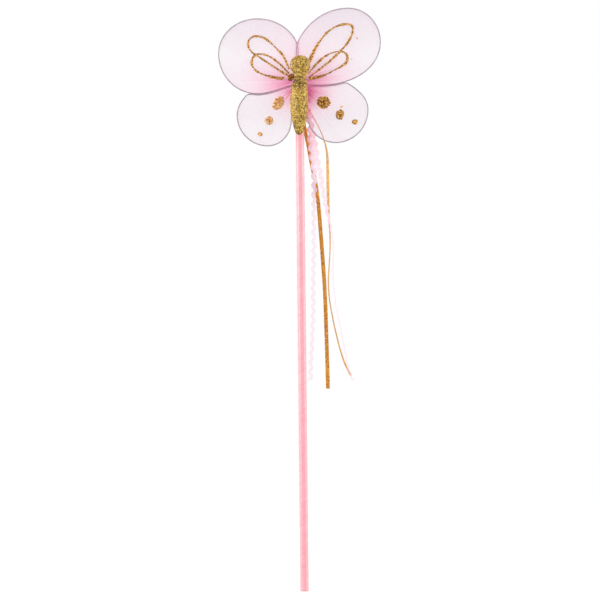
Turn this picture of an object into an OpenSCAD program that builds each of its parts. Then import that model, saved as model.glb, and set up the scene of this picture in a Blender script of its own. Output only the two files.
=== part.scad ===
// Butterfly wand: a satin-wound stick that carries four wings of sheer nylon over
// wire loops, a stuffed glitter body and two knotted ribbons with hanging tails.
// Millimetres. +Z runs up the stick and the butterfly faces -Y.
// The origin is on the stick's axis at the middle of the grip.

/* [Stick] */
// Length of the bare wooden stick
stick_length = 403.6; // [380:0.1:460]
// Diameter of the bare wooden stick
core_d = 6; // [5:0.1:6.4]
// Thickness of the satin ribbon wound on the stick
wrap_t = 0.35; // [0.2:0.05:0.5]
// Rounding of the satin at the foot
foot_round = 0.8; // [0.3:0.1:1.5]
// Height of the middle of the grip above the foot
grip_height = 50; // [35:1:80]
// Distance from the top of the stick down to the wing roots
root_below_top = 13; // [11:0.1:18]

/* [Wing wires] */
// Diameter of the wing wire
wire_d = 0.9; // [0.6:0.05:1]
// Diameter of the two wire ends twisted into one tail
tail_d = 1.2; // [1.1:0.05:1.3]
// Thickness of the nylon over the wire
nylon_t = 0.15; // [0.1:0.05:0.2]
// Distance from the stick's axis forward to the wing plane
wing_plane = 5; // [4.8:0.1:5.4]
// Distance from the stick's axis to the line between the left and right wings
wing_middle = -1.4; // [-2:0.1:-0.8]
// Distance between the two upper wing tails
upper_tail_gap = 1.8; // [1.8:0.1:2.2]
// Distance between the two lower wing tails
lower_tail_gap = 5.8; // [5.6:0.1:6.4]
// Distance kept between an upper wing wire and the lower wing wire under it
wing_step = 1.7; // [1.6:0.1:2.5]
// Height of the notch between the upper wings above the roots
notch_height = 33; // [26:0.5:38]

/* [Upper left wing] */
// Reach from the tail to the outer edge
upper_left_reach = 59.7; // [50:0.1:70]
// Height of the top edge above the root
upper_left_top = 51.2; // [44:0.1:60]
// Depth of the bottom edge below the root
upper_left_drop = 6.4; // [4:0.1:9]
// Reach at which the top and bottom edges turn
upper_left_turn = 30; // [24:0.5:36]
// Height of the outermost point above the root
upper_left_outer = 24.3; // [18:0.1:30]

/* [Upper right wing] */
// Reach from the tail to the outer edge
upper_right_reach = 63.2; // [54:0.1:72]
// Height of the top edge above the root
upper_right_top = 58.7; // [50:0.1:66]
// Reach at which the top edge turns
upper_right_turn = 38.6; // [30:0.1:44]
// Depth of the bottom edge below the root
upper_right_drop = 0.3; // [0:0.1:3]
// Reach at which the bottom edge turns
upper_right_dip = 18; // [14:0.5:22]
// Height of the outermost point above the root
upper_right_outer = 32.8; // [26:0.1:40]

/* [Lower left wing] */
// Reach from the tail to the outer edge
lower_left_reach = 43.9; // [40:0.1:52]
// Depth of the bottom edge below the root
lower_left_drop = 46.7; // [42:0.1:54]
// Reach at which the bottom edge turns
lower_left_turn = 20.4; // [16:0.1:25]
// Depth of the outermost point below the root
lower_left_outer = 22.9; // [20:0.1:28]
// Reach of the inner edge where it comes nearest to the tail
lower_left_inner = 2.4; // [1.5:0.1:5]
// Depth of that point below the root
lower_left_waist = 28.3; // [26:0.1:31]
// Reach of the shoulder, where the top edge turns down and leaves the upper wing
lower_left_shoulder = 37.3; // [35:0.1:39]
// Depth of the shoulder below the lowest point of the top edge
lower_left_shoulder_sink = 0.8; // [0.6:0.1:2]

/* [Lower right wing] */
// Reach from the tail to the outer edge
lower_right_reach = 51.2; // [45:0.1:58]
// Depth of the bottom edge below the root
lower_right_drop = 44.7; // [40:0.1:52]
// Reach at which the bottom edge turns
lower_right_turn = 26.3; // [20:0.1:32]
// Depth of the outermost point below the root
lower_right_outer = 19.2; // [15:0.1:24]
// Reach of the inner edge where it comes nearest to the tail
lower_right_inner = 5; // [3:0.1:7]
// Depth of that point below the root
lower_right_waist = 26; // [23:0.1:29]
// Reach at which the top edge turns
lower_right_crest = 28.5; // [24:0.5:33]
// Height of the upper wing's edge above the root there
lower_right_rise = 0.9; // [0.2:0.1:1]
// Reach of the shoulder, where the top edge turns down and leaves the upper wing
lower_right_shoulder = 36.6; // [35:0.1:38]
// Height of the shoulder above the turn of the top edge
lower_right_shoulder_lift = 0.6; // [0:0.1:0.8]

/* [Glitter lines] */
// Width of a glitter glue line
line_w = 1.5; // [0.8:0.1:2]
// Height of the glitter glue above the nylon
line_h = 0.5; // [0.3:0.05:0.6]
// Diameters of the glitter dots on the left, from the body out
left_dot_d = [9.6, 6.8, 3.7]; // [3:0.1:12]
// Diameters of the glitter dots on the right, from the body out
right_dot_d = [10.1, 6.8, 4.6]; // [3:0.1:12]

/* [Body] */
// Width of the head
head_w = 15.6; // [13:0.1:16]
// Height of the top of the head above the wing roots
head_top = 22.5; // [20:0.1:26]
// Width of the pinched neck
neck_w = 8.5; // [7.5:0.1:10]
// Height of the pinched neck above the wing roots
neck_height = 4.6; // [3:0.1:5.5]
// Width of the abdomen
abdomen_w = 13.8; // [12:0.1:14]
// Depth of the abdomen's tip below the wing roots
abdomen_drop = 38.7; // [34:0.1:44]
// Depth of the body, front to back, for each millimetre of its width
body_flatness = 0.66; // [0.55:0.01:0.68]
// Distance from the stick's axis forward to the middle of the body
body_forward = 13.2; // [13:0.1:14.5]
// Thickness of the glitter cloth
cloth_t = 0.6; // [0.4:0.1:0.9]
// Diameter of the thread that pinches the neck
thread_d = 0.7; // [0.5:0.1:0.9]

/* [Binding] */
// Height of the binding round the wing tails
binding_h = 8.5; // [6:0.5:9]
// Depth of the top of the binding below the wing roots
binding_below_root = 3.5; // [3.2:0.1:4]
// Thickness of the binding in front of the wing tails
binding_t = 0.5; // [0.4:0.05:0.6]
// Thickness of the binding's turns over the satin on the stick
binding_over_wrap = 0.3; // [0.2:0.05:0.4]
// Length of a thread tie on a wing tail
tie_h = 2.2; // [1.5:0.1:2.4]
// Thickness of a thread tie on a wing tail
tie_t = 0.2; // [0.1:0.05:0.22]

/* [Ribbons] */
// Width of the gold ribbon
gold_w = 3; // [2:0.1:3.2]
// Width across the waves of the rickrack
rickrack_w = 4; // [3:0.1:4.2]
// Width of the rickrack braid itself
braid_w = 2; // [1.4:0.1:2.4]
// Length of one wave of the rickrack
wave_length = 7.2; // [6:0.1:9]
// Thickness of both ribbons
ribbon_t = 0.4; // [0.3:0.05:0.5]
// Diameter of a ribbon knot
knot_d = 3.2; // [2.8:0.1:3.4]
// Depth of the gold knot below the wing roots
gold_knot_drop = 16.5; // [16:0.1:16.8]
// Depth of the rickrack knot below the wing roots
rickrack_knot_drop = 20.5; // [20.2:0.1:21]

/* [Hidden] */
$fn = 48;
slack = 0.02;
running_gap = 0.05;
free_gap = 0.3;
wire_sides = 8;
arc_steps = 9;
ring_sides = 24;
route_steps = 2;
wave_steps = 6;
cut_over = 1;

foot_z = -grip_height;
core_z = foot_z + wrap_t;
stick_top_z = core_z + stick_length;
root_z = stick_top_z - root_below_top;
core_r = core_d / 2;
wrap_r = core_r + wrap_t;
wrap_below_knot = 1;
sleeve_gap = 0.7;
wrap_top_z = root_z - rickrack_knot_drop - gold_w / 2 - wrap_below_knot;
sleeve_z = wrap_top_z + sleeve_gap;

wire_r = wire_d / 2;
tail_r = tail_d / 2;
nylon_r = wire_r + nylon_t;
upper_left_x = wing_middle - upper_tail_gap / 2;
upper_right_x = wing_middle + upper_tail_gap / 2;
lower_left_x = wing_middle - lower_tail_gap / 2;
lower_right_x = wing_middle + lower_tail_gap / 2;
tail_step = (lower_tail_gap - upper_tail_gap) / 2;
binding_top = -binding_below_root;
binding_bottom = binding_top - binding_h;
tie_lift = 0.3;
tail_below_tie = 3;
tail_end = binding_bottom - tie_lift - tie_h - tail_below_tie;
upper_root = 0.8;
root_step = 0.5;
lower_root = upper_root - wing_step - root_step;
upper_tail_over = 1.5;
lower_tail_over = 0.35;
upper_tail_top = upper_root + upper_tail_over;
lower_tail_top = lower_root + lower_tail_over;
wire_into_tail = 1;
wire_above_root = 0.7;
nylon_neck = 2;
lower_neck_gap = 1.3;
lower_left_edge = -upper_left_drop - wing_step;
lower_right_edge = lower_right_rise - wing_step;

// Knots of each wing wire: reach from the tail, height above the root, heading in degrees
upper_left_path = [
    [0, upper_root, -12],
    [upper_left_turn, -upper_left_drop, 0],
    [upper_left_reach, upper_left_outer, 90],
    [upper_left_turn, upper_left_top, 180],
    [0, notch_height, 245]];
upper_right_path = [
    [0, upper_root, -5],
    [upper_right_dip, -upper_right_drop, 0],
    [upper_right_reach, upper_right_outer, 90],
    [upper_right_turn, upper_right_top, 180],
    [0, notch_height, 245]];
lower_left_path = [
    [0, lower_root, -13],
    [upper_left_turn - tail_step, lower_left_edge, 0],
    [lower_left_shoulder, lower_left_edge - lower_left_shoulder_sink, -47],
    [lower_left_reach, -lower_left_outer, -90],
    [lower_left_turn, -lower_left_drop, -180],
    [lower_left_inner, -lower_left_waist, -268],
    [0, tail_end + wire_into_tail, -260]];
lower_right_path = [
    [0, lower_root, -3],
    [upper_right_dip - tail_step, -upper_right_drop - wing_step, 0],
    [lower_right_crest, lower_right_edge, 10],
    [lower_right_shoulder, lower_right_edge + lower_right_shoulder_lift, -33],
    [lower_right_reach, -lower_right_outer, -90],
    [lower_right_turn, -lower_right_drop, -180],
    [lower_right_inner, -lower_right_waist, -265],
    [0, tail_end + wire_into_tail, -240]];

// Knots of the glitter lines, in the same form
upper_left_lines = [
    [[5.5, 12.1, 68], [12.5, 25.6, 44], [30.7, 37.9, 0], [37, 31.9, -90], [25, 19.4, -145], [5.5, 6.9, -152]],
    [[5.6, 8.9, 45], [28.4, 24.1, 0], [34.3, 17.7, -90], [20.2, 6.6, -165], [5.5, 4.7, -180]]];
upper_right_lines = [
    [[8.4, 17.4, 70], [38.1, 46.5, 0], [42.2, 42.6, -95], [28.8, 22.3, -137], [7.6, 5.5, -145]],
    [[7.6, 8.5, 52], [32.1, 25.5, 0], [37.9, 20.6, -90], [25.7, 10, -150], [8.2, 4.7, -175]]];

// Reach and depth of the glitter dots on the lower wings
left_dots = [[12.1, -13.8], [19.4, -27.4], [26.3, -37.7]];
right_dots = [[17.1, -13.8], [29.5, -23.2], [40.8, -29]];

// Height above the roots and half width of the body
body_x = 0.2;
head_h = head_top - neck_height;
body_profile = [
    [head_top, 1],
    [neck_height + 0.96 * head_h, 0.4 * head_w / 2],
    [neck_height + 0.865 * head_h, 0.72 * head_w / 2],
    [neck_height + 0.735 * head_h, 0.925 * head_w / 2],
    [neck_height + 0.58 * head_h, head_w / 2],
    [neck_height + 0.445 * head_h, 0.955 * head_w / 2],
    [neck_height + 0.33 * head_h, 0.835 * head_w / 2],
    [neck_height + 0.2 * head_h, 0.675 * head_w / 2],
    [neck_height + 0.09 * head_h, neck_w / 2 + 0.1],
    [neck_height, neck_w / 2],
    [neck_height - 1.4, neck_w / 2 + 0.35],
    [-0.3, 0.83 * abdomen_w / 2],
    [-3.3, 0.925 * abdomen_w / 2],
    [-8, 0.985 * abdomen_w / 2],
    [-13, abdomen_w / 2],
    [-19.5, 0.975 * abdomen_w / 2],
    [0.65 * -abdomen_drop, 0.87 * abdomen_w / 2],
    [0.78 * -abdomen_drop, 0.72 * abdomen_w / 2],
    [0.9 * -abdomen_drop, 0.52 * abdomen_w / 2],
    [0.97 * -abdomen_drop, 0.32 * abdomen_w / 2],
    [-abdomen_drop, 1]];
pad_front = body_forward - body_flatness * abdomen_w / 2 - free_gap;
tail_bore = tail_r + running_gap;
binding_front = wing_plane + tail_bore + binding_t;
pad_inset = 1;

// Where each tail hangs, front to back
rickrack_right_y = -1;
rickrack_left_y = 1.8;
gold_left_y = 4.2;
gold_right_y = 6.8;
gold_knot_x = 5.2;
rickrack_knot_x = 5.3;
gold_knot_front = 0.5;
knot_over_tail = 0.8;
tail_start = knot_d / 2 + free_gap;

// Routes of the hanging tails: sideways, height above the roots, turn of the ribbon in degrees
gold_left_route = [
    [5.2, -gold_knot_drop - tail_start, 0], [3.8, -24, 0], [3.2, -30, 0], [4.6, -37, 15], [6.6, -48, 25],
    [8.9, -62, 20], [11.5, -74, 15], [13.5, -89, 5], [14.4, -100, 0], [15.2, -112, 0], [16, -123.5, 0],
    [16.7, -135, 0], [17.4, -146.5, 0], [18, -158, 0], [18.4, -170, 0], [18.7, -182, 0],
    [19.2, -205, 0], [19.5, -220, 0], [19.7, -234.6, 0]];
gold_right_route = [
    [6.8, -gold_knot_drop - tail_start, 0], [8.6, -22, 40], [12.2, -27.5, 66], [16, -35, 72],
    [19, -43.5, 68], [20.8, -53, 58], [21.1, -64, 45], [21.3, -80, 45], [21.7, -98, 55], [22.4, -115, 70],
    [22.3, -128, 74], [21.5, -142, 74], [21, -153, 72], [21.5, -164, 72], [22.8, -174, 72],
    [24.8, -185, 70], [27, -194.5, 68], [29.3, -203.5, 68], [33, -215, 65], [37.7, -224.8, 60]];
rickrack_left_route = [
    [5.6, -rickrack_knot_drop - tail_start, 0], [7.8, -28, 0], [8.4, -35, 0], [8, -42, 5], [8.8, -50, 10],
    [9.9, -62, 8], [10.8, -72, 5], [10.4, -89, 0], [10.1, -112, 0], [9.9, -130, 0],
    [9.3, -151, 0], [9, -174, 0], [8.3, -191, 0], [7.2, -207, 0], [6.3, -228, 0]];
rickrack_right_route = [
    [6.6, -rickrack_knot_drop - tail_start, 0], [8.6, -31, 0], [10.6, -42, 0], [12.2, -51, 5], [13.4, -60, 5],
    [15.6, -70, 8], [17.2, -81, 10], [19.2, -92, 20], [21.5, -102.5, 40], [23.3, -112, 62],
    [24.8, -121, 70], [24.9, -132, 72], [24.4, -143, 72], [24.9, -155, 72], [26, -167, 72],
    [28, -178, 70], [30.3, -190, 70], [32, -199, 68], [33.7, -208, 66], [35.4, -217, 62],
    [37.4, -224.5, 58], [40, -228.7, 50]];

function direction(heading) = [cos(heading), sin(heading)];

// Length of the handle that makes the roundest arc, for each millimetre of its chord
function handle(leave, arrive) =
    (2 + sqrt(2) * (sin(leave) - sin(arrive) / 16) * (sin(arrive) - sin(leave) / 16)
        * (cos(leave) - cos(arrive)))
    / (3 * (1 + (sqrt(5) - 1) / 2 * cos(leave) + (3 - sqrt(5)) / 2 * cos(arrive)));

// Points of one cubic arc between two knots, without its last point
function arc(from, to) =
    let (
        start = [from[0], from[1]],
        end = [to[0], to[1]],
        chord = end - start,
        course = atan2(chord[1], chord[0]),
        leave = from[2] - course,
        arrive = course - to[2],
        first = start + norm(chord) * handle(leave, arrive) * direction(from[2]),
        second = end - norm(chord) * handle(arrive, leave) * direction(to[2]))
    [for (i = [0 : arc_steps - 1])
        let (t = i / arc_steps, s = 1 - t)
        s * s * s * start + 3 * s * s * t * first + 3 * s * t * t * second + t * t * t * end];

function last(list) = list[len(list) - 1];

// Points of a smooth curve through knots of reach, height and heading
function curve(knots) = [
    for (i = [0 : len(knots) - 2]) each arc(knots[i], knots[i + 1]),
    [last(knots)[0], last(knots)[1]]];

// Points of a smooth curve through a list of plain points
function through(points) = [
    for (i = [0 : len(points) - 2])
        let (
            a = points[max(i - 1, 0)],
            b = points[i],
            c = points[i + 1],
            d = points[min(i + 2, len(points) - 1)])
        for (j = [0 : route_steps - 1])
            let (t = j / route_steps)
            0.5 * (2 * b + (c - a) * t + (2 * a - 5 * b + 4 * c - d) * t * t
                + (3 * b - a - 3 * c + d) * t * t * t),
    last(points)];

function tangent(points, i) =
    let (step = points[min(i + 1, len(points) - 1)] - points[max(i - 1, 0)])
    step / norm(step);

// Outline of a closed loop of points, grown sideways by a distance
function grown(points, by) =
    let (n = len(points))
    [for (i = [0 : n - 1])
        let (
            back = points[i] - points[(i + n - 1) % n],
            on = points[(i + 1) % n] - points[i],
            along = back / norm(back) + on / norm(on),
            side = [along[1], -along[0]] / norm(along))
        points[i] + by * side];

function reversed(list) = [for (i = [len(list) - 1 : -1 : 0]) list[i]];

// Closed loop of a wing: its wire, then back along the tail's line to just short of the root
function loop(path) =
    let (p = curve(path), back = sign(last(p)[1] - p[0][1]))
    concat(p, [[0, p[0][1] + back * upper_tail_over]]);

// Stands a flat drawing of reach and height up in the wing plane
module in_wing_plane(side, axis_x) {
    translate([axis_x, -wing_plane, root_z])
        mirror([side < 0 ? 1 : 0, 0, 0])
            rotate([90, 0, 0])
                children();
}

// Solid through a list of rings that each have the same number of points
module skin(rings, closed = false) {
    n = len(rings);
    m = len(rings[0]);
    sides = [for (i = [0 : closed ? n - 1 : n - 2], j = [0 : m - 1])
        let (k = (j + 1) % m, here = i * m, next = (i + 1) % n * m)
        each [[here + j, here + k, next + k], [here + j, next + k, next + j]]];
    end = (n - 1) * m;
    caps = [for (j = [1 : m - 2]) each [[0, j + 1, j], [end, end + j, end + j + 1]]];
    polyhedron(points = [for (ring = rings) each ring], faces = closed ? sides : concat(sides, caps));
}

// Sweeps a section of sideways and upward points along a flat path
module flat_sweep(path, section) {
    skin([for (i = [0 : len(path) - 1])
        let (t = tangent(path, i), side = [t[1], -t[0]])
        [for (s = section) [path[i][0] + s[0] * side[0], path[i][1] + s[0] * side[1], s[1]]]]);
}

function circle_section(r, sides) = [for (i = [0 : sides - 1]) r * direction(360 * i / sides)];

module upper_wire(side, axis_x, path) {
    color([0.75, 0.68, 0.73])
        in_wing_plane(side, axis_x) {
            flat_sweep(
                concat(curve(path), [[0, upper_root + wire_above_root]]),
                circle_section(wire_r, wire_sides));
            translate([0, binding_bottom, 0])
                rotate([-90, 0, 0])
                    cylinder(r = tail_r, h = upper_tail_top - binding_bottom);
        }
}

module lower_wire(side, axis_x, path) {
    color([0.75, 0.68, 0.73])
        in_wing_plane(side, axis_x) {
            flat_sweep(curve(path), circle_section(wire_r, wire_sides));
            translate([0, tail_end, 0])
                rotate([-90, 0, 0])
                    cylinder(r = tail_r, h = lower_tail_top - tail_end);
        }
}

// Two layers of nylon drawn over a wire loop, open where the wire ends leave it
module nylon(side, axis_x, outline, neck_bottom, neck_top, neck_r) {
    color([0.94, 0.9, 0.93, 0.6])
        in_wing_plane(side, axis_x)
            difference() {
                linear_extrude(2 * nylon_r, center = true)
                    polygon(grown(outline, nylon_r));
                linear_extrude(2 * (wire_r + slack), center = true)
                    polygon(grown(outline, wire_r + slack));
                translate([0, neck_bottom, 0])
                    rotate([-90, 0, 0])
                        cylinder(r = neck_r, h = neck_top - neck_bottom);
            }
}

module upper_nylon(side, axis_x, path) {
    nylon(side, axis_x, loop(path), upper_root - nylon_neck, upper_tail_top + free_gap, tail_r + free_gap);
}

module lower_nylon(side, axis_x, path) {
    nylon(side, axis_x, reversed(loop(path)), tail_end - cut_over, lower_root + nylon_neck,
        tail_r + lower_neck_gap);
}

module tie(side, axis_x, bottom) {
    color([0.9, 0.55, 0.66])
        in_wing_plane(side, axis_x)
            translate([0, bottom, 0])
                rotate([-90, 0, 0])
                    difference() {
                        cylinder(r = tail_r + slack + tie_t, h = tie_h);
                        translate([0, 0, -cut_over])
                            cylinder(r = tail_r + slack, h = tie_h + 2 * cut_over);
                    }
}

// Half-round bead of glitter glue lying on the nylon
module glitter_lines(side, axis_x, lines) {
    half = line_w / 2;
    shoulder = [0.75 * half, 0.7 * line_h];
    section = [[half, 0], shoulder, [0, line_h], [-shoulder[0], shoulder[1]], [-half, 0]];
    color([0.73, 0.6, 0.28])
        in_wing_plane(side, axis_x)
            translate([0, 0, nylon_r])
                for (line = lines)
                    flat_sweep(curve(line), section);
}

module glitter_dots(side, axis_x, centres, diameters) {
    color([0.73, 0.6, 0.28])
        in_wing_plane(side, axis_x)
            translate([0, 0, nylon_r])
                for (i = [0 : len(centres) - 1])
                    translate(centres[i])
                        cylinder(d = diameters[i], h = line_h);
}

module stick_core() {
    color([0.85, 0.72, 0.52])
        translate([0, 0, core_z])
            cylinder(r = core_r, h = stick_length);
}

module stick_wrap() {
    height = wrap_top_z - foot_z;
    color([0.97, 0.7, 0.75])
        translate([0, 0, foot_z])
            difference() {
                union() {
                    translate([0, 0, foot_round])
                        cylinder(r = wrap_r, h = height - foot_round);
                    cylinder(r = wrap_r - foot_round, h = foot_round);
                    rotate_extrude()
                        translate([wrap_r - foot_round, foot_round])
                            intersection() {
                                circle(r = foot_round);
                                translate([0, -foot_round])
                                    square(foot_round);
                            }
                }
                translate([0, 0, wrap_t])
                    cylinder(r = core_r + slack, h = height);
            }
}

// Satin bound round the stick's head and the four wing tails
module wing_binding() {
    color([0.96, 0.62, 0.69])
        difference() {
            union() {
                translate([0, 0, sleeve_z])
                    cylinder(r = wrap_r, h = stick_top_z + wrap_t - sleeve_z);
                translate([0, 0, root_z + binding_bottom])
                    hull() {
                        cylinder(r = wrap_r + binding_over_wrap, h = binding_h);
                        for (x = [lower_left_x, lower_right_x])
                            translate([x, -wing_plane, 0])
                                cylinder(r = tail_bore + binding_t, h = binding_h);
                    }
            }
            translate([0, 0, sleeve_z - cut_over])
                cylinder(r = core_r + slack, h = stick_top_z + slack - sleeve_z + cut_over);
            for (x = [lower_left_x, upper_left_x, upper_right_x, lower_right_x])
                translate([x, -wing_plane, root_z + binding_bottom - cut_over])
                    cylinder(r = tail_bore, h = binding_h + 2 * cut_over);
        }
}

module glue_pad() {
    color([0.93, 0.9, 0.8])
        translate([lower_left_x, -pad_front, root_z + binding_bottom + pad_inset])
            cube([lower_tail_gap, pad_front - binding_front, binding_h - 2 * pad_inset]);
}

function body_ring(height, half_w) = [
    for (i = [0 : ring_sides - 1])
        let (d = direction(360 * i / ring_sides))
        [body_x + half_w * d[0], body_flatness * half_w * d[1] - body_forward, root_z + height]];

// Body drawn in by a distance all round
module body_solid(inset) {
    skin([for (p = body_profile)
        let (height = max(min(p[0], head_top - inset), inset - abdomen_drop))
        body_ring(height, max(p[1] - inset, 0.3))]);
}

module body_cover() {
    color([0.73, 0.61, 0.3])
        difference() {
            body_solid(0);
            body_solid(cloth_t);
        }
}

module body_filling() {
    color([0.95, 0.95, 0.93])
        body_solid(cloth_t + 2 * running_gap);
}

module neck_thread() {
    r = thread_d / 2;
    half_w = neck_w / 2 + r + slack;
    section = circle_section(r, wire_sides);
    rings = [for (i = [0 : ring_sides - 1])
        let (d = direction(-360 * i / ring_sides))
        [for (s = section) [
            body_x + (half_w + s[0]) * d[0],
            (body_flatness * neck_w / 2 + r + slack + s[0]) * d[1] - body_forward,
            root_z + neck_height + s[1]]]];
    color([0.62, 0.5, 0.22])
        skin(rings, closed = true);
}

// Ribbon looped round the stick with its knot at the right
module knot(knot_x, drop, front_y, back_y) {
    translate([0, 0, root_z - drop]) {
        difference() {
            cylinder(r = wrap_r + slack + ribbon_t, h = gold_w, center = true);
            cylinder(r = wrap_r + slack, h = gold_w + 2 * cut_over, center = true);
        }
        difference() {
            translate([knot_x, back_y, 0])
                rotate([90, 0, 0])
                    cylinder(d = knot_d, h = back_y - front_y);
            cylinder(r = wrap_r + slack, h = knot_d + 2 * cut_over, center = true);
        }
    }
}

module gold_knot() {
    color([0.8, 0.55, 0.15])
        knot(gold_knot_x, gold_knot_drop, gold_knot_front, gold_right_y + knot_over_tail);
}

module rickrack_knot() {
    color([0.97, 0.8, 0.86])
        knot(rickrack_knot_x, rickrack_knot_drop,
            rickrack_right_y - knot_over_tail, rickrack_left_y + knot_over_tail);
}

// Four corners of a ribbon across its middle, turned about its own length
function ribbon_ring(points, i, y, width, shift) =
    let (
        p = points[i],
        t = tangent([for (q = points) [q[0], q[1]]], i),
        side = [-t[1], 0, t[0]],
        face = [0, 1, 0],
        across = cos(p[2]) * side + sin(p[2]) * face,
        out = cos(p[2]) * face - sin(p[2]) * side,
        middle = [p[0], y, root_z + p[1]] + shift * across)
    [for (corner = [[1, 1], [-1, 1], [-1, -1], [1, -1]])
        middle + corner[0] * width / 2 * across + corner[1] * ribbon_t / 2 * out];

module gold_tail(route, y) {
    points = through(route);
    color([0.8, 0.55, 0.15])
        skin([for (i = [0 : len(points) - 1]) ribbon_ring(points, i, y, gold_w, 0)]);
}

function lengths(points, i = 0, sum = 0) =
    i == len(points) - 1
        ? [sum]
        : concat([sum], lengths(points, i + 1, sum + norm([
            points[i + 1][0] - points[i][0], points[i + 1][1] - points[i][1]])));

// Point of a route at a length along it
function along(points, marks, s) =
    let (
        i = max([for (k = [0 : len(marks) - 2]) marks[k] <= s ? k : 0]),
        share = (s - marks[i]) / (marks[i + 1] - marks[i]))
    points[i] + share * (points[i + 1] - points[i]);

module rickrack_tail(route, y) {
    points = through(route);
    marks = lengths(points);
    count = round(last(marks) / wave_length * wave_steps);
    even = [for (i = [0 : count]) along(points, marks, last(marks) * min(i / count, 0.9999))];
    swing = (rickrack_w - braid_w) / 2;
    color([0.98, 0.86, 0.91])
        skin([for (i = [0 : count])
            ribbon_ring(even, i, y, braid_w, swing * sin(360 * i / wave_steps))]);
}

stick_core();
stick_wrap();
wing_binding();
glue_pad();
body_cover();
body_filling();
neck_thread();
upper_wire(-1, upper_left_x, upper_left_path);  // upper_left_wire
upper_nylon(-1, upper_left_x, upper_left_path);  // upper_left_nylon
glitter_lines(-1, upper_left_x, upper_left_lines);  // upper_left_glitter
tie(-1, upper_left_x, binding_top + tie_lift);  // upper_left_tie
upper_wire(1, upper_right_x, upper_right_path);  // upper_right_wire
upper_nylon(1, upper_right_x, upper_right_path);  // upper_right_nylon
glitter_lines(1, upper_right_x, upper_right_lines);  // upper_right_glitter
tie(1, upper_right_x, binding_top + tie_lift);  // upper_right_tie
lower_wire(-1, lower_left_x, lower_left_path);  // lower_left_wire
lower_nylon(-1, lower_left_x, lower_left_path);  // lower_left_nylon
glitter_dots(-1, lower_left_x, left_dots, left_dot_d);  // lower_left_dots
tie(-1, lower_left_x, binding_bottom - tie_lift - tie_h);  // lower_left_tie
lower_wire(1, lower_right_x, lower_right_path);  // lower_right_wire
lower_nylon(1, lower_right_x, lower_right_path);  // lower_right_nylon
glitter_dots(1, lower_right_x, right_dots, right_dot_d);  // lower_right_dots
tie(1, lower_right_x, binding_bottom - tie_lift - tie_h);  // lower_right_tie
gold_knot();
gold_tail(gold_left_route, gold_left_y);  // gold_left_tail
gold_tail(gold_right_route, gold_right_y);  // gold_right_tail
rickrack_knot();
rickrack_tail(rickrack_left_route, rickrack_left_y);  // rickrack_left_tail
rickrack_tail(rickrack_right_route, rickrack_right_y);  // rickrack_right_tail
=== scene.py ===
"""Dresses the butterfly wand: wound satin, sheer wings, glitter body and hanging ribbons.

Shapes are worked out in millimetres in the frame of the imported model, +Z up the stick and the
butterfly facing -Y, and become metres when a mesh is made. Heights on the butterfly are measured
from the wing roots, and reach is measured from a wing's own tail.
"""
import math

import bpy
import numpy as np
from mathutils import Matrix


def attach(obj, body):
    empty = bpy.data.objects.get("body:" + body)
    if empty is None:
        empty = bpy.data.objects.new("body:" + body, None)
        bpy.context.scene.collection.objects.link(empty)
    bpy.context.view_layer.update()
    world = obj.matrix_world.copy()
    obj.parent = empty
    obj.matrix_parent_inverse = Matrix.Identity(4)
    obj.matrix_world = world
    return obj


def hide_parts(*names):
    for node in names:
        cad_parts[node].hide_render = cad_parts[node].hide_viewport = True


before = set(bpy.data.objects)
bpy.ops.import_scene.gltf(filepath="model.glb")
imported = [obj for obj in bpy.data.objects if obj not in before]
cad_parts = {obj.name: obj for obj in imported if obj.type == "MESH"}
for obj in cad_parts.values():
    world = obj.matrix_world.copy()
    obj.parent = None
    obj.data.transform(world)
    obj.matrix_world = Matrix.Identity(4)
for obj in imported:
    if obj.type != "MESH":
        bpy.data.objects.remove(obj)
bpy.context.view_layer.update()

MM = 0.001
TURN = 2 * np.pi
ROOT_Z = 340.95
Y_AXIS = np.array([0.0, 1.0, 0.0])
Z_AXIS = np.array([0.0, 0.0, 1.0])


def set_out(name, data):
    """New object in the scene, at the origin."""
    thing = bpy.data.objects.new(name, data)
    bpy.context.scene.collection.objects.link(thing)
    return thing


# Camera: straight on, with the small roll of the photograph

PIXEL = 0.772
VIEW_CENTRE = (-1.2, 175.05)
VIEW_DISTANCE = 5000
VIEW_ROLL = 0.0102
VIEW_PIXELS = 600
SENSOR = 36

camera = set_out("camera", bpy.data.cameras.new("camera"))
camera.location = (VIEW_CENTRE[0] * MM, -VIEW_DISTANCE * MM, VIEW_CENTRE[1] * MM)
camera.rotation_euler = (math.pi / 2, VIEW_ROLL, 0)
camera.data.sensor_width = SENSOR
camera.data.lens = SENSOR * VIEW_DISTANCE / (VIEW_PIXELS * PIXEL)
bpy.context.scene.camera = camera


# Curves and surfaces

def unit(vectors):
    """Vectors divided by their own lengths."""
    return vectors / np.linalg.norm(vectors, axis=-1, keepdims=True)


def turned(angle):
    """Unit vectors in a plane at angles in radians."""
    return np.stack([np.cos(angle), np.sin(angle)], -1)


def round_angles(sides):
    """Angles of evenly spaced points round a circle, in radians."""
    return np.arange(sides) * TURN / sides


def through(knots, steps):
    """Smooth curve: each span is the cubic that leaves and arrives parallel to the chords beside it."""
    knots = np.asarray(knots, float)
    spans = np.arange(len(knots) - 1)
    a, b = knots[np.maximum(spans - 1, 0)][:, None], knots[spans][:, None]
    c, d = knots[spans + 1][:, None], knots[np.minimum(spans + 2, len(knots) - 1)][:, None]
    t = (np.arange(steps) / steps)[None, :, None]
    points = 0.5 * (2 * b + (c - a) * t + (2 * a - 5 * b + 4 * c - d) * t ** 2
                    + (3 * b - a - 3 * c + d) * t ** 3)
    return np.vstack([points.reshape(-1, knots.shape[1]), knots[-1:]])


def bell(distance, width, power=2):
    """1 at no distance, falling smoothly to almost 0 past the width."""
    return np.exp(-(distance / width) ** power)


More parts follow.
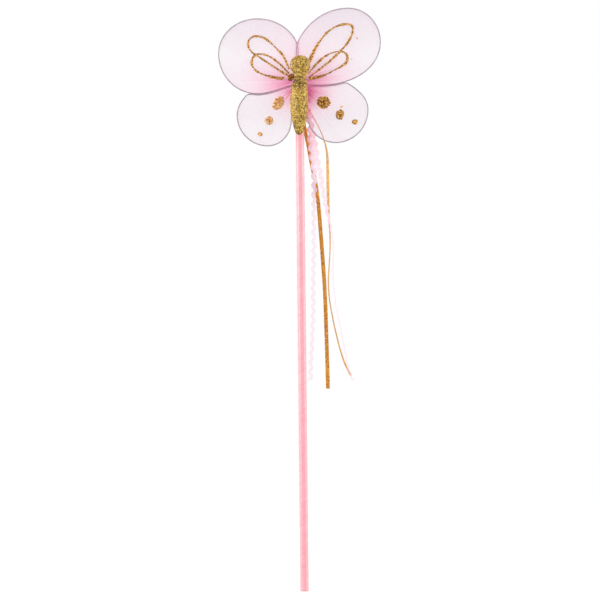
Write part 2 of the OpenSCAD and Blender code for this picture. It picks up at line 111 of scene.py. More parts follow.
def lengths(points):
    """Distance along a line of points from its first point to each of them."""
    return np.r_[0, np.cumsum(np.linalg.norm(np.diff(points, axis=0), axis=1))]


def even(points, gap):
    """The same line with points a steady gap apart, measured on its first two columns."""
    marks = lengths(points[:, :2])
    stops = np.linspace(0, marks[-1], max(int(round(marks[-1] / gap)), 2) + 1)
    return np.stack([np.interp(stops, marks, column) for column in points.T], -1)


def handle(leave, arrive):
    """Length of the handle that makes the roundest arc, for each millimetre of its chord."""
    sines = (np.sin(leave) - np.sin(arrive) / 16) * (np.sin(arrive) - np.sin(leave) / 16)
    spread = 2 + math.sqrt(2) * sines * (np.cos(leave) - np.cos(arrive))
    rise, fall = (math.sqrt(5) - 1) / 2, (3 - math.sqrt(5)) / 2
    return spread / (3 * (1 + rise * np.cos(leave) + fall * np.cos(arrive)))


def wing_curve(knots, steps=40):
    """Cubic arcs through knots of reach, height and heading in degrees, with the roundest handles."""
    knots = np.asarray(knots, float)
    place, heading = knots[:, :2], np.radians(knots[:, 2])
    chord = np.diff(place, axis=0)
    course = np.arctan2(chord[:, 1], chord[:, 0])
    reach = np.linalg.norm(chord, axis=1)
    leave, arrive = heading[:-1] - course, course - heading[1:]
    first = place[:-1] + (reach * handle(leave, arrive))[:, None] * turned(heading[:-1])
    second = place[1:] - (reach * handle(arrive, leave))[:, None] * turned(heading[1:])
    t = (np.arange(steps) / steps)[None, :, None]
    s = 1 - t
    arcs = (s ** 3 * place[:-1, None] + 3 * s * s * t * first[:, None]
            + 3 * s * t * t * second[:, None] + t ** 3 * place[1:, None])
    return np.vstack([arcs.reshape(-1, 2), place[-1:]])


def sweep(path, across, face, profile):
    """Carries a profile of sideways and outward distances along a path, ring by ring."""
    return path[:, None] + profile[..., :1] * across[:, None] + profile[..., 1:] * face[:, None]


def tube(path, radius, face, sides=12):
    """Round tube along a path: a circle set square to the path at each of its points."""
    along = unit(np.gradient(path, axis=0))
    across = unit(np.cross(along, np.broadcast_to(face, path.shape)))
    profile = radius * turned(round_angles(sides))
    return sweep(path, across, np.cross(across, along), profile)


def coil(centre, radius, low, high, turns, squash=1.0, per_turn=24):
    """Helix round an upright line: a circle, or an ellipse squashed front to back, that climbs steadily."""
    angle = np.linspace(0, TURN * turns, int(turns * per_turn) + 1)
    out = turned(angle)
    path = np.c_[centre[0] + radius * out[:, 0], centre[1] + squash * radius * out[:, 1],
                 np.linspace(low, high, len(angle))]
    return path, np.c_[out, np.zeros(len(out))]


def waver(seed, *places):
    """Smooth random swell about 0: a third of the sum of six sine waves with seeded slopes and starts."""
    draw = np.random.default_rng(seed)
    slopes = draw.normal(0, 1, (6, len(places)))
    starts = draw.uniform(0, TURN, 6)
    waves = [np.sin(sum(s * p for s, p in zip(slope, places)) + start)
             for slope, start in zip(slopes, starts)]
    return sum(waves) / 3


def quads_of(rows, columns):
    """Corner numbers of the quads between neighbouring rows of a grid whose columns go round."""
    row = np.arange(rows - 1)[:, None]
    column = np.arange(columns)[None, :]
    after = (column + 1) % columns
    corners = (row * columns + column, row * columns + after,
               (row + 1) * columns + after, (row + 1) * columns + column)
    return np.stack(np.broadcast_arrays(*corners), -1).reshape(-1, 4)


def closed(points, run=None, **marks):
    """Closed surface over a grid: columns go round, rows go along, and a flat face shuts each end.

    The UV map holds the share of the way round and the run along. The faces are turned outwards by the
    sign of the volume that they hold.
    """
    rows, columns = points.shape[:2]
    corners = points.reshape(-1, 3)
    faces = quads_of(rows, columns)
    run = np.linspace(0, 1, rows) if run is None else run
    round_, along = np.meshgrid(np.arange(columns) / columns, np.arange(rows - 1))
    u = round_[..., None] + np.array([0, 1, 1, 0]) / columns
    v = run[along[..., None] + [0, 0, 1, 1]]
    uv = np.stack([u, v], -1).reshape(-1, 4, 2)
    a, b, c, d = (corners[faces[:, k]] - corners.mean(0) for k in range(4))
    inside_out = (a * (np.cross(b, c) + np.cross(c, d))).sum() < 0
    lids = [np.arange(columns)[::-1], np.arange(columns) + (rows - 1) * columns]
    if inside_out:
        faces, uv, lids = faces[:, ::-1], uv[:, ::-1], [lid[::-1] for lid in lids]
    lid_uv = np.repeat([[0.5, run[0]], [0.5, run[-1]]], columns, axis=0)
    return {"corners": corners, "faces": faces, "lids": lids,
            "uv": np.vstack([uv.reshape(-1, 2), lid_uv]),
            "marks": {name: np.broadcast_to(value, (rows, columns)).ravel() for name, value in marks.items()}}


def make(name, surfaces, finish, body, nodes, smooth=True, crease=None):
    """One piece from closed surfaces, with its finish, the body it rides on and the nodes it stands for."""
    corners, faces, uv, first = [], [], [], 0
    for surface in surfaces:
        corners.append(surface["corners"])
        faces += (surface["faces"] + first).tolist() + [(lid + first).tolist() for lid in surface["lids"]]
        uv.append(surface["uv"])
        first += len(surface["corners"])
    mesh = bpy.data.meshes.new(name)
    mesh.from_pydata((np.vstack(corners) * MM).tolist(), [], faces)
    mesh.uv_layers.new(name="UVMap").data.foreach_set("uv", np.vstack(uv).ravel())
    mesh.polygons.foreach_set("use_smooth", np.full(len(faces), smooth))
    for mark in surfaces[0]["marks"]:
        values = np.concatenate([surface["marks"][mark] for surface in surfaces])
        mesh.attributes.new(mark, "FLOAT", "POINT").data.foreach_set("value", values.astype(np.float32))
    if crease is not None:
        mesh.set_sharp_from_angle(angle=math.radians(crease))
    mesh.materials.append(finish)
    piece = set_out(name, mesh)
    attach(piece, body)
    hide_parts(*nodes)
    return piece


# Finishes

def pigment(red, green, blue):
    """Linear colour of a written 0 to 255 colour."""
    written = np.array([red, green, blue]) / 255
    linear = np.where(written <= 0.04045, written / 12.92, ((written + 0.055) / 1.055) ** 2.4)
    return (*linear.tolist(), 1.0)


def add(finish, kind, settings=None, **inputs):
    """New node of a finish: settings are its own properties, inputs are constants or sockets to join."""
    node = finish.node_tree.nodes.new("ShaderNode" + kind)
    for key, value in (settings or {}).items():
        setattr(node, key, value)
    for key, value in inputs.items():
        socket = node.inputs[int(key[1:]) if key[0] == "_" else key.replace("_", " ")]
        if isinstance(value, bpy.types.NodeSocket):
            finish.node_tree.links.new(value, socket)
        else:
            socket.default_value = value
    return node


def shader_of(finish):
    """Principled shader of a finish."""
    return finish.node_tree.nodes["Principled BSDF"]


def join(finish, socket, name):
    """Joins a socket to an input of the finish's shader."""
    finish.node_tree.links.new(socket, shader_of(finish).inputs[name])


def new_finish(name, **constants):
    """Finish with a principled shader whose constants are set on its own sockets."""
    finish = bpy.data.materials.new(name)
    finish.use_nodes = True
    for key, value in constants.items():
        shader_of(finish).inputs[key.replace("_", " ")].default_value = value
    return finish


def place(finish, source="Object", scale=(1, 1, 1), turn=0.0):
    """Object coordinates or the UV map, stretched and turned by a mapping node."""
    coordinates = add(finish, "TexCoord").outputs[source]
    return add(finish, "Mapping", Vector=coordinates, Scale=scale, Rotation=(0, 0, turn)).outputs[0]


def ramp(finish, factor, stops):
    """Colour from a number, through stops of place and written colour."""
    node = add(finish, "ValToRGB", Fac=factor)
    elements = node.color_ramp.elements
    while len(elements) < len(stops):
        elements.new(0.5)
    for element, (position, colour) in zip(elements, stops):
        element.position = position
        element.color = pigment(*colour)
    return node.outputs["Color"]


def emboss(finish, height, strength, depth):
    """Bump of a finish from a height socket, its depth in millimetres."""
    bump = add(finish, "Bump", Height=height, Strength=strength, Distance=depth * MM)
    join(finish, bump.outputs["Normal"], "Normal")


def number(finish, operation, first, second, clamp=False):
    """Arithmetic node."""
    return add(finish, "Math", {"operation": operation, "use_clamp": clamp},
               _0=first, _1=second).outputs[0]


def mark_of(finish, name):
    """Number that a piece carries at each of its points."""
    return add(finish, "Attribute", {"attribute_name": name}).outputs["Fac"]


def mixed(finish, share, first, second):
    """First colour where the share is 0, second colour where it is 1."""
    return add(finish, "Mix", {"data_type": "RGBA"}, _0=share, _6=first, _7=second).outputs[2]


def weighed(finish, *parts):
    """Sum of numbers, each times its own share."""
    total = 0.0
    for value, share in parts:
        total = add(finish, "Math", {"operation": "MULTIPLY_ADD"},
                    _0=value, _1=share, _2=total).outputs[0]
    return total


def noise(finish, spot, scale, detail=2.0):
    """Cloudy number over a place."""
    return add(finish, "TexNoise", Vector=spot, Scale=scale, Detail=detail).outputs[0]


def stripes(finish, spot, distortion, direction="X", detail=2.0):
    """Number that rises and falls in wavy stripes over a place."""
    return add(finish, "TexWave", {"bands_direction": direction},
               Vector=spot, Scale=1.0, Distortion=distortion, Detail=detail).outputs["Fac"]


def flakes(finish, scale):
    """Cells of one flake each: the distance from a cell's middle, and two chance numbers for the cell."""
    cells = add(finish, "TexVoronoi", Vector=place(finish), Scale=scale)
    chance = add(finish, "SeparateColor", Color=cells.outputs["Color"])
    return cells.outputs["Distance"], chance.outputs[0], chance.outputs[1]


def clouded(name, deep, pale, scale, detail, strength, depth, stretch=(1, 1, 1), **constants):
    """Finish with one cloudy pattern, which shades it from deep to pale and raises it."""
    finish = new_finish(name, **constants)
    cloud = noise(finish, place(finish, "Object", stretch), scale, detail)
    join(finish, ramp(finish, cloud, [(0.3, deep), (0.7, pale)]), "Base Color")
    emboss(finish, cloud, strength, depth)
    return finish


def satin(name, pale, deep):
    """Satin ribbon: threads drawn out along it that shade from pale to deep and shine white aslant."""
    finish = new_finish(name, Roughness=0.42, Sheen_Weight=1.0, Sheen_Roughness=0.6, Specular_IOR_Level=0.7,
                        Coat_Weight=1.0, Coat_Roughness=0.38)
    threads = noise(finish, place(finish, "UV", (70, 0.12, 1)), 1.0, 3.0)
    blend = weighed(finish, (threads, 0.6), (noise(finish, place(finish), 160.0), 0.4))
    join(finish, ramp(finish, blend, [(0.3, deep), (0.7, pale)]), "Base Color")
    emboss(finish, threads, 0.25, 0.06)
    return finish


def glitter(name, flake, shine, tilt, *shades):
    """Glitter: cells one flake across, each with a chance shade and tilt, painted shade in folds, deeper glue
    in blots.
    """
    finish = new_finish(name, Metallic=shine, Roughness=0.4)
    away, shade, lean = flakes(finish, 1 / (flake * MM))
    seam = number(finish, "SUBTRACT", away, 0.55)
    # The fold mark darkens flakes: painted shade at the body's waist and crease, a painted shadow in its neck
    # notch, and the glue's own deeper tone on dots
    dark = weighed(finish, (mark_of(finish, "fold"), 0.8), (seam, 0.9))
    join(finish, ramp(finish, number(finish, "SUBTRACT", shade, dark, clamp=True), shades), "Base Color")
    emboss(finish, number(finish, "ADD", lean, away), tilt, 0.2)
    return finish


def thread_finish(name, pale, deep):
    """Sewing thread: two plies twisted together, as slanting stripes along the thread."""
    finish = new_finish(name, Roughness=0.6, Sheen_Weight=0.3)
    plies = stripes(finish, place(finish, "UV", (2, 3.2, 1), 0.6), 0.6)
    join(finish, ramp(finish, plies, [(0.1, deep), (0.8, pale)]), "Base Color")
    emboss(finish, plies, 0.5, 0.08)
    return finish


def nylon_finish():
    """Sheer knitted nylon: pale, less sheer towards the top, and thick and pink where the pleats gather."""
    finish = new_finish("sheer_nylon", Roughness=0.55, Specular_IOR_Level=0.2, Sheen_Weight=0.15)
    gather = mark_of(finish, "gather")
    fan = number(finish, "ARCTAN2", mark_of(finish, "spoke_z"), mark_of(finish, "spoke_x"))
    pleats = add(finish, "TexNoise", {"noise_dimensions": "1D"}, W=fan, Scale=13.0, Detail=2.0)
    folds = number(finish, "MULTIPLY", number(finish, "SUBTRACT", pleats.outputs[0], 0.5), gather)
    pink = number(finish, "ADD", gather, folds, clamp=True)
    shades = [(0.0, (226, 205, 219)), (0.15, (248, 192, 218)), (0.45, (255, 148, 196)), (1.0, (230, 84, 154))]
    join(finish, ramp(finish, pink, shades), "Base Color")
    knit = place(finish, "Object", (1, 0.01, 1.4))
    stitches = add(finish, "TexVoronoi", Vector=knit, Scale=1500.0)
    drift = noise(finish, place(finish, "Object", (1, 0.05, 1)), 45.0)
    thick = weighed(finish, (stitches.outputs["Distance"], 0.07), (drift, 0.16),
                    (mark_of(finish, "top"), 0.2), (pink, 0.62))
    join(finish, number(finish, "ADD", thick, 0.06, clamp=True), "Alpha")
    return finish


def gold_ribbon_finish():
    """Gold ribbon: ribs of metal thread and sparkling flakes, with painted light that pales a slanted tail,
    pink at a knot.
    """
    finish = new_finish("gold_ribbon", Metallic=0.4, Roughness=0.42)
    ribs = stripes(finish, place(finish, "UV", (1, 0.55, 1)), 0.8, "Y", 1.0)
    blend = weighed(finish, (ribs, 0.3), (flakes(finish, 1700.0)[1], 0.7))
    # Deep and pale copies of one gold; the slant mark mixes in the pale one as painted light
    deep = [(0.1, (156, 86, 10)), (0.45, (202, 128, 26)), (0.8, (224, 156, 52)), (0.95, (248, 210, 124))]
    pale = [(0.1, (160, 108, 52)), (0.45, (198, 146, 74)), (0.8, (218, 166, 90)), (0.95, (246, 210, 136))]
    gold = mixed(finish, mark_of(finish, "slant"), ramp(finish, blend, deep), ramp(finish, blend, pale))
    join(finish, mixed(finish, mark_of(finish, "blush"), gold, pigment(222, 150, 152)), "Base Color")
    emboss(finish, ribs, 0.5, 0.12)
    return finish


def rickrack_finish():
    """Rickrack braid: slanting plaits, pale where it is closed, sheer lower down and deeper at the knot."""
    finish = new_finish("pink_rickrack", Roughness=0.6, Sheen_Weight=0.6, Sheen_Roughness=0.6)
    plaits = stripes(finish, place(finish, "UV", (10, 1.1, 1)), 0.0)
    cross = stripes(finish, place(finish, "UV", (9, 0.9, 1)), 0.3, "DIAGONAL")
    weave = weighed(finish, (plaits, 0.28), (cross, 0.28))
    near_knot = mark_of(finish, "near_knot")
    cover = number(finish, "ADD", near_knot, mark_of(finish, "cover"), clamp=True)
    tint = weighed(finish, (cover, 0.6), (near_knot, 0.4), (weave, 0.15))
    shades = [(0.1, (255, 200, 225)), (0.24, (255, 210, 227)), (0.62, (255, 229, 239)),
              (0.78, (255, 222, 232)), (1.0, (255, 178, 192))]
    join(finish, ramp(finish, tint, shades), "Base Color")
    join(finish, cover, "Alpha")
    emboss(finish, weave, 0.35, 0.1)
    return finish


STICK_SATIN = satin("pink_satin", (250, 168, 178), (243, 138, 151))
BINDING_SATIN = satin("binding_satin", (250, 182, 194), (232, 130, 148))
BODY_GLITTER = glitter("body_glitter", 1.0, 0.1, 0.3, (0.0, (80, 55, 4)), (0.2, (131, 98, 20)),
                       (0.45, (168, 130, 42)), (0.75, (188, 150, 56)), (0.95, (224, 191, 94)))
LINE_GLITTER = glitter("line_glitter", 0.8, 0.4, 0.5, (0.0, (108, 56, 12)), (0.25, (148, 92, 30)),
                       (0.6, (186, 126, 52)), (0.95, (236, 188, 112)))
LEFT_DOT_GLITTER = glitter("left_dot_glitter", 1.0, 0.2, 0.5, (0.0, (156, 100, 46)), (0.3, (206, 145, 82)),
                           (0.65, (230, 170, 108)), (0.95, (250, 218, 166)))
RIGHT_DOT_GLITTER = glitter("right_dot_glitter", 1.0, 0.2, 0.5, (0.0, (98, 54, 8)), (0.3, (156, 98, 24)),
                            (0.65, (200, 138, 48)), (0.95, (242, 196, 112)))
GOLD_THREAD = thread_finish("gold_thread", (192, 158, 76), (146, 114, 44))
PINK_THREAD = thread_finish("pink_thread", (238, 160, 184), (206, 112, 144))
NYLON = nylon_finish()
GOLD_RIBBON = gold_ribbon_finish()
RICKRACK = rickrack_finish()
WIRE = clouded("lacquered_wire", (140, 126, 135), (178, 165, 173), 260.0, 2.0, 0.15, 0.05,
               Metallic=0.15, Roughness=0.42)
GLUE = clouded("set_glue", (226, 214, 188), (245, 239, 224), 420.0, 2.0, 0.3, 0.3,
               Roughness=0.28, Subsurface_Weight=0.35, Subsurface_Scale=0.002)
BIRCH = clouded("birch", (196, 160, 112), (226, 198, 154), 1.0, 5.0, 0.2, 0.1, (900, 900, 14), Roughness=0.6)
WADDING = clouded("wadding", (216, 214, 208), (248, 247, 243), 700.0, 6.0, 0.8, 0.4,
                  Roughness=0.9, Sheen_Weight=0.5)


# Hanging ribbon tails: sideways, height above the roots and turn in degrees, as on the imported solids

GOLD_W, GOLD_T = 3, 0.36
RIB_LENGTH = 1.4
CUP_LENGTH = 61
BLUSH_LENGTH = 22
BRAID_W, BRAID_T = 2, 0.42
RICKRACK_W = 4
WAVE_LENGTH = 7.2
OVERLAP_LENGTH = 60
KNOT_D = 3.2
GOLD_KNOT = (5.2, -16.5)
RICKRACK_KNOT = (5.3, -20.5)
TAIL_START = 1.9
RIBBON_GAP = 0.35
TAILS = {
    "gold_left": (4.2, [
        [5.2, GOLD_KNOT[1] - TAIL_START, 0], [3.8, -24, 0], [3.2, -30, 0], [4.6, -37, 15], [6.6, -48, 25],
        [8.9, -62, 20], [11.5, -74, 15], [13.5, -89, 5], [14.4, -100, 0], [15.2, -112, 0], [16, -123.5, 0],
        [16.7, -135, 0], [17.4, -146.5, 0], [18, -158, 0], [18.4, -170, 0], [18.7, -182, 0],
        [19.2, -205, 0], [19.5, -220, 0], [19.7, -234.6, 0]]),
    "gold_right": (6.8, [
        [6.8, GOLD_KNOT[1] - TAIL_START, 0], [8.6, -22, 40], [12.2, -27.5, 66], [16, -35, 72],
        [19, -43.5, 68], [20.8, -53, 58], [21.1, -64, 45], [21.3, -80, 45], [21.7, -98, 55], [22.4, -115, 70],
        [22.3, -128, 74], [21.5, -142, 74], [21, -153, 72], [21.5, -164, 72], [22.8, -174, 72],
        [24.8, -185, 70], [27, -194.5, 68], [29.3, -203.5, 68], [33, -215, 65], [37.7, -224.8, 60]]),
    "rickrack_left": (1.8, [
        [5.6, RICKRACK_KNOT[1] - TAIL_START, 0], [7.8, -28, 0], [8.4, -35, 0], [8, -42, 5], [8.8, -50, 10],
        [9.9, -62, 8], [10.8, -72, 5], [10.4, -89, 0], [10.1, -112, 0], [9.9, -130, 0],
        [9.3, -151, 0], [9, -174, 0], [8.3, -191, 0], [7.2, -207, 0], [6.3, -228, 0]]),
    "rickrack_right": (-1, [
        [6.6, RICKRACK_KNOT[1] - TAIL_START, 0], [8.6, -31, 0], [10.6, -42, 0], [12.2, -51, 5],
        [13.4, -60, 5], [15.6, -70, 8], [17.2, -81, 10], [19.2, -92, 20], [21.5, -102.5, 40],
        [23.3, -112, 62], [24.8, -121, 70], [24.9, -132, 72], [24.4, -143, 72], [24.9, -155, 72],
        [26, -167, 72], [28, -178, 70], [30.3, -190, 70], [32, -199, 68], [33.7, -208, 66], [35.4, -217, 62],
        [37.4, -224.5, 58], [40, -228.7, 50]]),
}


def hang(name):
    """Middle line of a tail, its sideways and outward directions, and the run along it."""
    depth, route = TAILS[name]
    line = even(through(route, 16), RIBBON_GAP)
    path = np.c_[line[:, 0], np.full(len(line), depth), ROOT_Z + line[:, 1]]
    along = unit(np.gradient(path, axis=0))
    side = np.c_[-along[:, 2], np.zeros(len(line)), along[:, 0]]
    turn = np.radians(line[:, 2])[:, None]
    across, face = np.cos(turn) * side + np.sin(turn) * Y_AXIS, np.cos(turn) * Y_AXIS - np.sin(turn) * side
    return path, across, face, lengths(path)


def ribbon_profile(width, thick, cords):
    """Flat ribbon across: a front and a back edge that swell over each cord and meet at rounded selvedges."""
    share = np.linspace(-1, 1, 4 * cords + 1)
    body = thick / 2 * (1 - share ** 8) * (0.75 + 0.25 * np.abs(np.cos(share * cords * np.pi / 2)))
    front = np.c_[share * width / 2, body]
    back = np.c_[share * width / 2, -body][::-1][1:-1]
    return np.vstack([front, back])


def gold_tail(name, slant, blush):
    """Gold ribbon tail: a flat profile that cups a little and swells over each cross rib as it goes down."""
    path, across, face, run = hang(name)
    profile = np.repeat(ribbon_profile(GOLD_W, GOLD_T, 4)[None], len(path), axis=0)
    profile[..., 1] *= 1 + 0.22 * np.sin(TURN * run / RIB_LENGTH)[:, None]
    cup = 0.16 * np.sin(TURN * run / CUP_LENGTH)[:, None]
    profile[..., 1] += cup * (profile[..., 0] / (GOLD_W / 2)) ** 2
    profile[..., 0] *= 1 + 0.025 * waver(3, run / 3)[:, None]
    # slant is the share of painted light, the paler gold, that the tail takes
    surface = closed(sweep(path, across, face, profile), run, slant=slant,
                     blush=blush * bell(run, BLUSH_LENGTH, 4)[:, None])
    piece = make(name + "_ribbon", [surface], GOLD_RIBBON, name, [name + "_tail"])


def rickrack_tail(name, closed_to, sheer):
    """Rickrack tail: a braid on a line that swings from side to side in even waves as it goes down."""
    path, across, face, run = hang(name)
    near_knot = bell(run, OVERLAP_LENGTH)
    swing = (RICKRACK_W - BRAID_W) / 2 * (0.7 + 0.2 * near_knot) * np.sin(TURN * run / WAVE_LENGTH)
    lean = np.arctan(np.gradient(swing, run))
    profile = np.repeat(ribbon_profile(BRAID_W, BRAID_T, 3)[None], len(path), axis=0)
    profile[..., 0] *= ((1.3 + 0.6 * near_knot) / np.cos(lean) ** 0.6)[:, None]
    profile[..., 0] += swing[:, None]
    profile[..., 1] += 0.1 * np.sin(TURN * run / WAVE_LENGTH * 2)[:, None]
    cover = sheer + bell(run, closed_to, 6)
    surface = closed(sweep(path, across, face, profile), run, cover=cover[:, None],
                     near_knot=0.64 * near_knot[:, None] ** 2)
    piece = make(name + "_braid", [surface], RICKRACK, name, [name + "_tail"])


gold_tail("gold_left", 0, 0)
# The right tail, turned edge-on, takes the paler gold as painted light
gold_tail("gold_right", 0.8, 0.8)
rickrack_tail("rickrack_left", 58, 0.16)
rickrack_tail("rickrack_right", 80, 0.3)


# Wings

WING_Y = -5
WING_GAP = 0.7
VEIL_ROWS = 44
LOOP_STOP, RIM_STOP = 0.7, 1.5
WIRE_R = 0.45
STRAND_R = 0.3
TWIST_LENGTH, TWIST_GAP = 2.6, 0.15
NYLON_R = 0.6
RIM_ROLL = 0.56
TOP_FROM, TOP_FULL = 24, 58
INNER_PINK = 0.12
PLEATS = 19
PLEAT_RISE = 0.25
PLEAT_LENGTH = 12
TAIL_R = 0.6
BINDING_TOP = -3.5
BINDING_BOTTOM = -12
TAIL_END = -17.5
UPPER_ROOT = 0.8
LOWER_ROOT = -1.4
NOTCH = 33
INNER_BOW = -0.35
EDGE_LIFT = 0.7
TIE_H = 2.2
TIE_LIFT = 0.3
TIE_THREAD_R = 0.1
LINE_W, LINE_H = 1.45, 0.5
LINE_GAP, LINE_END = 0.34, 14
GLUE_SINK = 0.1
FLAKE = 0.07

# The pull and the pink are the heading of the gathers, and the length, strength and spread of their colour
UPPER = {"root": UPPER_ROOT, "tail": (BINDING_BOTTOM, 2.3), "tie": BINDING_TOP + TIE_LIFT,
         "gather": (1.2, 3.0), "beside": 0, "wash": 0}
LOWER = {"root": LOWER_ROOT, "tail": (TAIL_END, LOWER_ROOT + 0.35), "tie": BINDING_BOTTOM - TIE_LIFT - TIE_H,
         "gather": (0.9, -2.8), "wash": 0.02}
WINGS = {
    "upper_left": {
        **UPPER, "side": -1, "axis": -2.3, "middle": (26, 20), "pull": -8, "pink": (21.5, 0.9, 34),
        "path": [[0, UPPER_ROOT, -12], [30, -6.4, 0], [59.7, 24.3, 90], [30, 51.2, 180],
                 [INNER_BOW, NOTCH, 245]]},
    "upper_right": {
        **UPPER, "side": 1, "axis": -0.5, "middle": (28, 24), "pull": 3, "pink": (20, 1.05, 38),
        "path": [[0, UPPER_ROOT, -5], [18, -0.3, 0], [63.2, 32.8, 90], [38.6, 58.7, 180],
                 [INNER_BOW, NOTCH, 245]]},
    "lower_left": {
        **LOWER, "side": -1, "axis": -4.3, "middle": (16, -22), "pull": -45, "pink": (11, 0.84, 48),
        "beside": 0.06,
        "path": [[0, LOWER_ROOT + EDGE_LIFT, -14], [28, EDGE_LIFT - 8.1, 0], [37, EDGE_LIFT - 8.9, -47],
                 [43.9, -22.9, -90], [20.4, -46.7, -180], [2.4, -28.3, -268], [0, TAIL_END + 1, -260]]},
    "lower_right": {
        **LOWER, "side": 1, "axis": 1.5, "middle": (18, -18), "pull": -28, "pink": (13, 1.4, 60),
        "beside": 0.26,
        "path": [[0, LOWER_ROOT + EDGE_LIFT, -3], [16, EDGE_LIFT - 2.0, 0], [28.5, EDGE_LIFT - 0.8, 10],
                 [36.3, EDGE_LIFT - 0.2, -33], [51.2, -19.2, -90], [26.3, -44.7, -180], [5, -26, -265],
                 [0, TAIL_END + 1, -240]]},
}
# How much wider each glitter line starts and ends, and its knots of reach, height and heading
GLUE_LINES = {
    "upper_left": [
        [1, 1, [[5.5, 12.1, 68], [12.5, 25.6, 44], [30.7, 37.9, 0], [37, 31.9, -90], [25, 19.4, -145],
                [5.5, 6.9, -152]]],
        [1, 1.6, [[5.6, 8.9, 45], [28.4, 24.1, 0], [34.3, 17.7, -90], [20.2, 6.6, -165], [9.5, 5.2, -180]]]],
    "upper_right": [
        [2.1, 1, [[8.4, 17.4, 70], [38.1, 46.5, 0], [42.2, 42.6, -95], [28.8, 22.3, -137], [7.6, 5.5, -145]]],
        [1, 1.4, [[7.6, 8.5, 52], [32.1, 25.5, 0], [37.9, 20.6, -90], [25.7, 10, -150], [8.2, 4.7, -175]]]],
}
# Reach, height, width, tallness, lean and darkness of the dots, the stray drops and the blot by the neck
GLUE_DOTS = {
    "lower_left": [(12.1, -13.8, 8.9, 1.12, -0.3, 0), (19.4, -27.4, 6.8, 1, -0.1, 0),
                   (26.3, -37.7, 3.7, 1, 0, 0.2)],
    "lower_right": [(17.1, -13.8, 10.1, 1, 0, 0), (29.5, -23.2, 6.8, 1.1, 0, 0.1),
                    (40.8, -29, 4.6, 0.85, 0, 0.25), (30.6, -17.5, 1.5, 1.2, 0, -0.4),
                    (31.9, -16.9, 0.9, 1, 0, -0.4)],
    "upper_left": [(4, 5.7, 5.6, 1.05, -0.2, 0.6)],
    "upper_right": [(45.3, 35.6, 1.2, 1.3, 0, 0), (40.9, 19.5, 0.9, 1, 0, 0)],
}


def in_wing(wing, flat, out):
    """Reach and height on a wing, and the distance in front of its plane, as places in the frame."""
    x = wing["axis"] + wing["side"] * flat[..., 0]
    return np.stack([x, np.broadcast_to(WING_Y - out, x.shape), ROOT_Z + flat[..., 1]], -1)


def wing_wire(name):
    """Wire loop as a tube along the wing's curve, and a tail of two wire ends twisted round each other."""
    wing = WINGS[name]
    loop = wing_curve(wing["path"])
    if wing["path"][-1][1] > 0:
        loop = np.vstack([loop, [[0, wing["root"] + LOOP_STOP]]])
    loop = even(loop, WING_GAP)
    surfaces = [closed(tube(in_wing(wing, loop, 0.0), WIRE_R, Y_AXIS))]
    low, high = wing["tail"]
    height = np.linspace(low, high, int((high - low) / TWIST_GAP))
    for start in (0, np.pi):
        twist = turned(start + height * TURN / TWIST_LENGTH) * (TAIL_R - STRAND_R)
        path = np.c_[wing["axis"] + twist[:, 0], WING_Y + twist[:, 1], ROOT_Z + height]
        surfaces.append(closed(tube(path, STRAND_R, Y_AXIS, 8)))
    make(name + "_loop", surfaces, WIRE, name + "_wing", [name + "_wire"])


def rim_of(wing):
    """Rim of a wing as an even ring of reach and height, its outward directions, and its area with a sign."""
    rim = wing_curve(wing["path"])
    back = np.sign(rim[-1, 1] - rim[0, 1])
    rim = even(np.vstack([rim, [[0, rim[0, 1] + back * RIM_STOP]], rim[:1]]), WING_GAP)[:-1]
    before, after = np.roll(rim, 1, axis=0), np.roll(rim, -1, axis=0)
    area = 0.5 * (rim[:, 0] * after[:, 1] - rim[:, 1] * after[:, 0]).sum()
    along = unit(after - before) * np.sign(area)
    return rim, np.c_[along[:, 1], -along[:, 0]], area


def pink_of(wing, flat, away, angle):
    """Pink of the nylon: strongest along the pull of its gathers, and a little by the rim and the body."""
    fan, strength, spread = wing["pink"]
    lean = np.degrees(np.abs((angle - np.radians(wing["pull"]) + np.pi) % TURN - np.pi))
    pull = strength * bell(away, fan, 1.3) * (0.42 + 0.58 * bell(lean, spread))
    inner = INNER_PINK * bell(flat[..., 0], 1.2)
    beside = wing["beside"] * bell(flat[..., 0] - 5, 2.6) * bell(flat[..., 1] + 14, 10, 4)
    return pull + inner + beside + wing["wash"]


def wing_veil(name, seed):
    """Two layers of nylon over a wing's loop.

    Each point lies between the wing's middle and a point of the rim. The layers lie in front of and behind
    the wing plane, meet round the wire in a half circle, and rise and fall in folds that fan out from the
    gathering point and die away from it.
    """
    wing = WINGS[name]
    rim, outward, area = rim_of(wing)
    middle = np.array(wing["middle"])
    share = np.linspace(0.02, 1, VEIL_ROWS)[:, None, None]
    layer = middle + share * (rim - middle)
    bend = np.radians([60, 30, 0, -30, -60])[:, None, None]
    flat = np.concatenate([layer, rim + RIM_ROLL * np.cos(bend) * outward, layer[::-1]])
    front = np.full(share.shape, NYLON_R)
    out = np.concatenate([front, NYLON_R * np.sin(bend), -front])
    spoke = flat - np.array(wing["gather"])
    away = np.linalg.norm(spoke, axis=-1)
    angle = np.arctan2(spoke[..., 1], spoke[..., 0])
    fold = np.sin(PLEATS * angle + 2 * waver(seed, 3 * np.cos(angle), 3 * np.sin(angle)))
    rise = PLEAT_RISE * fold * bell(away, PLEAT_LENGTH) * np.clip(away / 4, 0, 1)
    top = np.clip((flat[..., 1] - TOP_FROM) / (TOP_FULL - TOP_FROM), 0, 1)
    surface = closed(in_wing(wing, flat, out[..., 0] + rise), gather=pink_of(wing, flat, away, angle),
                     spoke_x=spoke[..., 0], spoke_z=spoke[..., 1], top=top)
    piece = make(name + "_veil", [surface], NYLON, name + "_wing", [name + "_nylon"])


